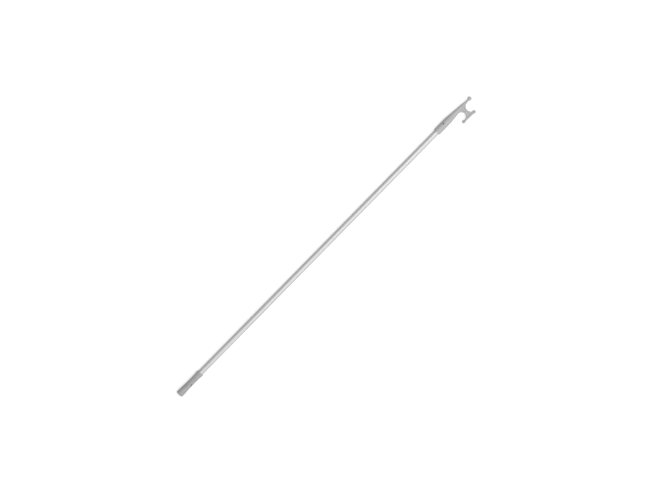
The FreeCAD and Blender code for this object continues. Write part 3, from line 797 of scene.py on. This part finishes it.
class BOATHOOK_OT_head(Operator):
    """Mould the hook head: socket, tapered arm with its round tip, rimmed web and crossbar"""

    bl_idname = "boat_hook.make_head"
    bl_label = "Make Head"

    def arm(self, head):
        """The socket, the shoulder, the tapered arm and its round tip."""
        socket, neck, tip = head.socket / 2, head.neck / 2, head.tip / 2
        run, sweep = neck_sweep(neck, tip, head.neck_round)
        cone_end = head.length - tip - run
        lean = math.atan((socket - neck) / (cone_end - head.socket_length))
        setback = head.shoulder * math.tan(lean / 2)
        outline = Outline(0, 0)
        outline.line(0, socket - head.mouth_round)
        outline.arc(head.mouth_round, socket - head.mouth_round, -QUARTER, 8)
        outline.line(head.socket_length - setback, socket)
        outline.arc(head.socket_length - setback, socket - head.shoulder, -lean, 10)
        outline.line(cone_end, neck)
        outline.arc(cone_end, neck + head.neck_round, sweep, 12)
        outline.arc(head.length - tip, 0, -QUARTER - sweep, 28)
        return outline.turned(ARM_SEGMENTS)

    def crossbar(self, head):
        """The crossbar, swept into a round end on each side."""
        bar, ball, reach = head.bar / 2, head.bar_ball / 2, head.bar_span / 2
        run, sweep = neck_sweep(bar, ball, head.bar_round)
        outline = Outline(-reach - ball, 0)
        outline.arc(-reach, 0, -QUARTER - sweep, 24)
        outline.arc(run - reach, bar + head.bar_round, sweep, 10)
        outline.line(reach - run, bar)
        outline.arc(reach - run, bar + head.bar_round, sweep, 10)
        outline.arc(reach, 0, -QUARTER - sweep, 24)
        place = Matrix.Translation((head.bar_place, -head.bar_drop, 0))
        return placed(outline.turned(BAR_SEGMENTS), place, Matrix.Rotation(-head.bar_toe, 4, UPRIGHT))

    def throats(self, head):
        """Centre and radius of the two throats, and the angles that their rims run between.

        Each circle touches the web's waist and runs just inside the arm's underside and the
        crossbar's inner side.
        """
        socket, neck, tip = head.socket / 2, head.neck / 2, head.tip / 2
        run, _ = neck_sweep(neck, tip, head.neck_round)
        arm_slope = (socket - neck) / (head.length - tip - run - head.socket_length)
        bar_slope = math.tan(head.bar_toe)
        arm_side = socket + arm_slope * head.socket_length
        bar_side = head.bar_drop - head.bar / 2 - bar_slope * head.bar_place
        gap = bar_side - arm_side + 2 * head.overlap
        spread = arm_slope + bar_slope
        found = []
        for side, first, last in ((-1, -QUARTER, QUARTER), (1, HALF + head.rim_reach, QUARTER)):
            waist = head.web_place + side * head.web_waist / 2
            radius = (gap + spread * waist) / (2 - side * spread)
            along = waist + side * radius
            down = arm_side - arm_slope * along + radius - head.overlap
            found.append((Vector((along, -down, 0)), radius + head.rim / 2, first, last))
        return found

    def rim(self, head, centre, radius, first, last):
        """One round rim, swept about its throat."""
        mesh = bmesh.new()
        bmesh.ops.create_circle(mesh, segments=36, radius=head.rim / 2, cap_ends=False)
        start = Matrix.Translation(centre) @ Matrix.Rotation(first, 4, UPRIGHT)
        placed(mesh, start, Matrix.Translation((radius, 0, 0)), Matrix.Rotation(QUARTER, 4, POLE_AXIS))
        bmesh.ops.spin(
            mesh, geom=mesh.verts[:] + mesh.edges[:], cent=centre, axis=UPRIGHT, angle=last - first, steps=56
        )
        bmesh.ops.remove_doubles(mesh, verts=mesh.verts[:], dist=MERGE)
        bmesh.ops.holes_fill(mesh, edges=[edge for edge in mesh.edges if edge.is_boundary], sides=0)
        bmesh.ops.recalc_face_normals(mesh, faces=mesh.faces[:])
        return mesh

    def web(self, head, throats):
        """The thin web between the middles of the two rims."""
        mesh = bmesh.new()
        for centre, radius, first, last in throats:
            at = centre + Vector((math.cos(first), math.sin(first), 0)) * radius
            pen = mesh.verts.new((at.x, at.y, -head.web / 2))
            bmesh.ops.spin(mesh, geom=[pen], cent=centre, axis=UPRIGHT, angle=last - first, steps=40)
        bmesh.ops.bridge_loops(mesh, edges=mesh.edges[:])
        grown = bmesh.ops.extrude_face_region(mesh, geom=mesh.faces[:])
        raised = [item for item in grown["geom"] if isinstance(item, bmesh.types.BMVert)]
        bmesh.ops.translate(mesh, verts=raised, vec=(0, 0, head.web))
        bmesh.ops.recalc_face_normals(mesh, faces=mesh.faces[:])
        return mesh

    def bore(self, head):
        """The shape of the socket's bore and of the hollow core behind it."""
        radius = head.bore / 2
        outline = Outline(-head.lead_in, 0)
        outline.line(-head.lead_in, radius + 2 * head.lead_in)
        outline.line(head.lead_in, radius)
        outline.line(head.bore_depth, radius)
        outline.line(head.bore_depth, head.core / 2)
        outline.line(head.bore_depth + head.core_length, head.core_end / 2)
        outline.arc(head.bore_depth + head.core_length, 0, -QUARTER, 8)
        return outline.turned(ARM_SEGMENTS)

    def execute(self, context):
        settings = context.scene.boat_hook
        head, rivets = settings.head, settings.rivets
        to_mouth = Matrix.Translation((head.mouth, 0, 0))
        throats = self.throats(head)
        parts = [self.arm(head), self.crossbar(head), self.web(head, throats)]
        parts += [self.rim(head, *throat) for throat in throats]
        piece = as_object(placed(gathered(parts), to_mouth), "hook")
        skin = piece.modifiers.new("skin", "REMESH")
        skin.mode = "VOXEL"
        skin.voxel_size = head.voxel
        melt = piece.modifiers.new("melt", "SMOOTH")
        melt.factor = 0.5
        melt.iterations = head.melt
        rivet_place = head.mouth + rivets.head_place
        cutters = [placed(self.bore(head), to_mouth)]
        for angle in (rivets.head_turn, rivets.head_turn + HALF):
            cutters.append(drill(rivets, rivet_place, angle, rivets.head_seat, head.socket))
        settle(piece, [cut(piece, cutter) for cutter in cutters])
        declare(piece, "head", moulded_nylon(settings.finishes), "hook_head")
        return {"FINISHED"}


class BOATHOOK_OT_rivets(Operator):
    """Turn the hollow rivets and the broken stems inside them"""

    bl_idname = "boat_hook.make_rivets"
    bl_label = "Make Rivets"

    def body(self, rivets, blind_top, seat):
        """A set rivet: a domed head on its seat, and a bulb against the inside of the tube."""
        hole, bulb, shank = (rivets.stem + rivets.stem_gap) / 2, rivets.bulb / 2, rivets.shank / 2
        edge, crown = seat + rivets.head_edge, seat + rivets.head_height
        foot = blind_top - rivets.bulb_height
        rim, soft = rivets.head / 2, rivets.head_edge / 2
        outline = Outline(foot, hole)
        outline.line(foot, bulb - 2 * soft)
        outline.arc(foot + 2 * soft, bulb - 2 * soft, -QUARTER, 6)
        outline.line(blind_top - soft, bulb)
        outline.line(blind_top, bulb - soft)
        outline.line(blind_top, shank)
        outline.line(seat, shank)
        outline.line(seat, rim - soft)
        outline.arc(seat + soft, rim - soft, -QUARTER, 4)
        outline.line(edge, rim)
        # the dome is an arc that rises from the head's edge to the rim of the stem's hole
        rise = crown - edge
        bend = (rim * rim + rise * rise) / (2 * rise)
        whole, stop = math.asin(rim / bend), math.asin(hole * 1.2 / bend)
        outline.arc(crown - bend, 0, stop - whole, 12)
        outline.line(crown - soft, hole)
        outline.line(foot, hole)
        return outline.turned(rivets.segments)

    def stem(self, rivets, blind_top, seat):
        """A pulling stem: a blind head under the bulb, and a torn end inside the dome."""
        radius, wide = rivets.stem / 2, rivets.bulb / 2 - rivets.stem_gap
        foot = blind_top - rivets.bulb_height
        end = seat + rivets.head_height - rivets.stem_recess
        outline = Outline(foot - rivets.stem_head, 0)
        outline.line(foot - rivets.stem_head, wide * 0.5)
        outline.line(foot - rivets.stem_head * 0.8, wide * 0.85)
        outline.line(foot - rivets.stem_head / 2, wide)
        outline.line(foot, wide)
        outline.line(foot, radius)
        outline.line(end - radius * 0.3, radius)
        outline.line(end - radius * 0.1, radius * 0.8)
        outline.line(end, radius * 0.45)
        outline.line(end - radius * 0.15, 0)
        return outline.turned(rivets.segments)

    def execute(self, context):
        settings = context.scene.boat_hook
        rivets, pole = settings.rivets, settings.pole
        bore, bulb = pole.diameter / 2 - pole.wall, rivets.bulb / 2
        blind_top = math.sqrt(bore * bore - bulb * bulb) - rivets.bulb_gap
        head_place = settings.head.mouth + rivets.head_place
        sets = {
            "head": (rivets.head_seat, [(head_place, rivets.head_turn), (head_place, rivets.head_turn + HALF)],
                     "head_rivets", "head_rivet_stems"),
            "grip": (rivets.grip_seat, [(rivets.grip_place, rivets.grip_turn)], "grip_rivet", "grip_rivet_stem"),
        }
        metal, steel = rivet_metal(settings.finishes), stem_steel(settings.finishes)
        for name, (seat, places, rivet_node, stem_node) in sets.items():
            for kind, make, slot, finish, node in (
                ("fastener", self.body, "rivet", metal, rivet_node),
                ("stem", self.stem, "rivet_stem", steel, stem_node),
            ):
                copies = [placed(make(rivets, blind_top, seat), rivet_axis(*place)) for place in places]
                piece = as_object(gathered(copies), f"{name}_{kind}")
                settle(piece)
                declare(piece, slot, finish, node)
        return {"FINISHED"}


class BOATHOOK_OT_plugs(Operator):
    """Finish the two end plugs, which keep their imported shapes"""

    bl_idname = "boat_hook.finish_plugs"
    bl_label = "Finish Plugs"

    def execute(self, context):
        finish = plug_plastic(context.scene.boat_hook.finishes)
        for name in ("butt_end_plug", "head_end_plug"):
            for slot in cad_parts[name].material_slots:
                slot.material = finish
        return {"FINISHED"}


class BOATHOOK_OT_stage(Operator):
    """Lay the pale floor, hang the soft light and set the camera"""

    bl_idname = "boat_hook.make_stage"
    bl_label = "Make Stage"

    def floor(self, stage, finishes, lowest):
        """A plain floor under the lowest point of the object."""
        mesh = bmesh.new()
        bmesh.ops.create_grid(mesh, x_segments=4, y_segments=4, size=stage.floor_size)
        floor = as_object(placed(mesh, Matrix.Translation((0, 0, lowest))), "floor")
        floor.data.materials.append(studio_floor(finishes, stage.floor_glow))

    def lamp(self, stage, aim):
        """The square soft key light, which faces its aim and isn't seen itself."""
        data = bpy.data.lights.new("key", "AREA")
        data.shape = "SQUARE"
        data.size = stage.key_size
        data.energy = stage.key_power
        lamp = bpy.data.objects.new("key", data)
        side, height = stage.key_side, stage.key_height
        away = Vector((
            -math.sin(side) * math.cos(height),
            -math.cos(side) * math.cos(height),
            math.sin(height),
        ))
        lamp.location = aim + away * stage.key_distance
        lamp.rotation_euler = away.to_track_quat("Z", "Y").to_euler()
        lamp.visible_camera = False
        bpy.context.scene.collection.objects.link(lamp)

    def sky(self, stage):
        """Even white light from all round, stronger on the key's side, behind a plain white backdrop."""
        world = bpy.data.worlds.new("studio")
        world.use_nodes = True
        tree = world.node_tree
        bright = Vector((-math.sin(stage.sky_side), -math.cos(stage.sky_side), 0))
        facing = add(tree, "ShaderNodeVectorMath", {1: bright}, operation="DOT_PRODUCT")
        tree.links.new(tree.nodes.new("ShaderNodeTexCoord").outputs["Generated"], facing.inputs[0])
        strength = ramp(tree, facing.outputs["Value"], -1.0, 1.0, stage.sky_dim, stage.sky_bright)
        seen = tree.nodes.new("ShaderNodeLightPath").outputs["Is Camera Ray"]
        air = tree.nodes["Background"]
        air.inputs["Color"].default_value = (1, 1, 1, 1)
        tree.links.new(calc(tree, "MAXIMUM", strength, seen), air.inputs["Strength"])
        return world

    def camera(self, stage, aim):
        """A long lens that looks straight down, rolled so that the pole slopes as it should."""
        data = bpy.data.cameras.new("camera")
        data.lens = stage.focal
        data.clip_end = 100
        camera = bpy.data.objects.new("camera", data)
        camera.location = aim + UPRIGHT * (stage.view_width * stage.focal / data.sensor_width)
        camera.rotation_euler = (0, 0, -stage.roll)
        bpy.context.scene.collection.objects.link(camera)
        bpy.context.scene.camera = camera

    def execute(self, context):
        settings = context.scene.boat_hook
        stage = settings.stage
        low, high = CAD_BOX
        aim = Vector((
            low.x + (high.x - low.x) * stage.aim[0],
            low.y + (high.y - low.y) * stage.aim[1],
            0,
        ))
        self.floor(stage, settings.finishes, low.z)
        self.lamp(stage, aim + POLE_AXIS * stage.key_shift)
        self.camera(stage, aim)
        context.scene.world = self.sky(stage)
        context.scene.view_settings.view_transform = "Standard"
        return {"FINISHED"}


class BOATHOOK_PT_panel(Panel):
    """Lists the steps in the order that they are run"""

    bl_label = "Boat Hook"
    bl_idname = "BOATHOOK_PT_panel"
    bl_space_type = "VIEW_3D"
    bl_region_type = "UI"
    bl_category = "Boat Hook"

    def draw(self, context):
        for step in STEPS:
            self.layout.operator(step.bl_idname)


STEPS = (
    BOATHOOK_OT_pole,
    BOATHOOK_OT_grip,
    BOATHOOK_OT_head,
    BOATHOOK_OT_rivets,
    BOATHOOK_OT_plugs,
    BOATHOOK_OT_stage,
)
CLASSES = (
    PoleSizes,
    GripSizes,
    HeadSizes,
    RivetSizes,
    Finishes,
    StageSizes,
    BoatHookSettings,
    *STEPS,
    BOATHOOK_PT_panel,
)


def register():
    """Register every class and hang the settings on the scene."""
    for kind in CLASSES:
        bpy.utils.register_class(kind)
    bpy.types.Scene.boat_hook = PointerProperty(type=BoatHookSettings)


def unregister():
    """Take the settings and the classes away again."""
    del bpy.types.Scene.boat_hook
    for kind in reversed(CLASSES):
        bpy.utils.unregister_class(kind)


def main():
    """Register the steps and build everything in order."""
    register()
    bpy.ops.boat_hook.make_pole()
    bpy.ops.boat_hook.make_grip()
    bpy.ops.boat_hook.make_head()
    bpy.ops.boat_hook.make_rivets()
    bpy.ops.boat_hook.finish_plugs()
    bpy.ops.boat_hook.make_stage()


if __name__ == "__main__":
    main()
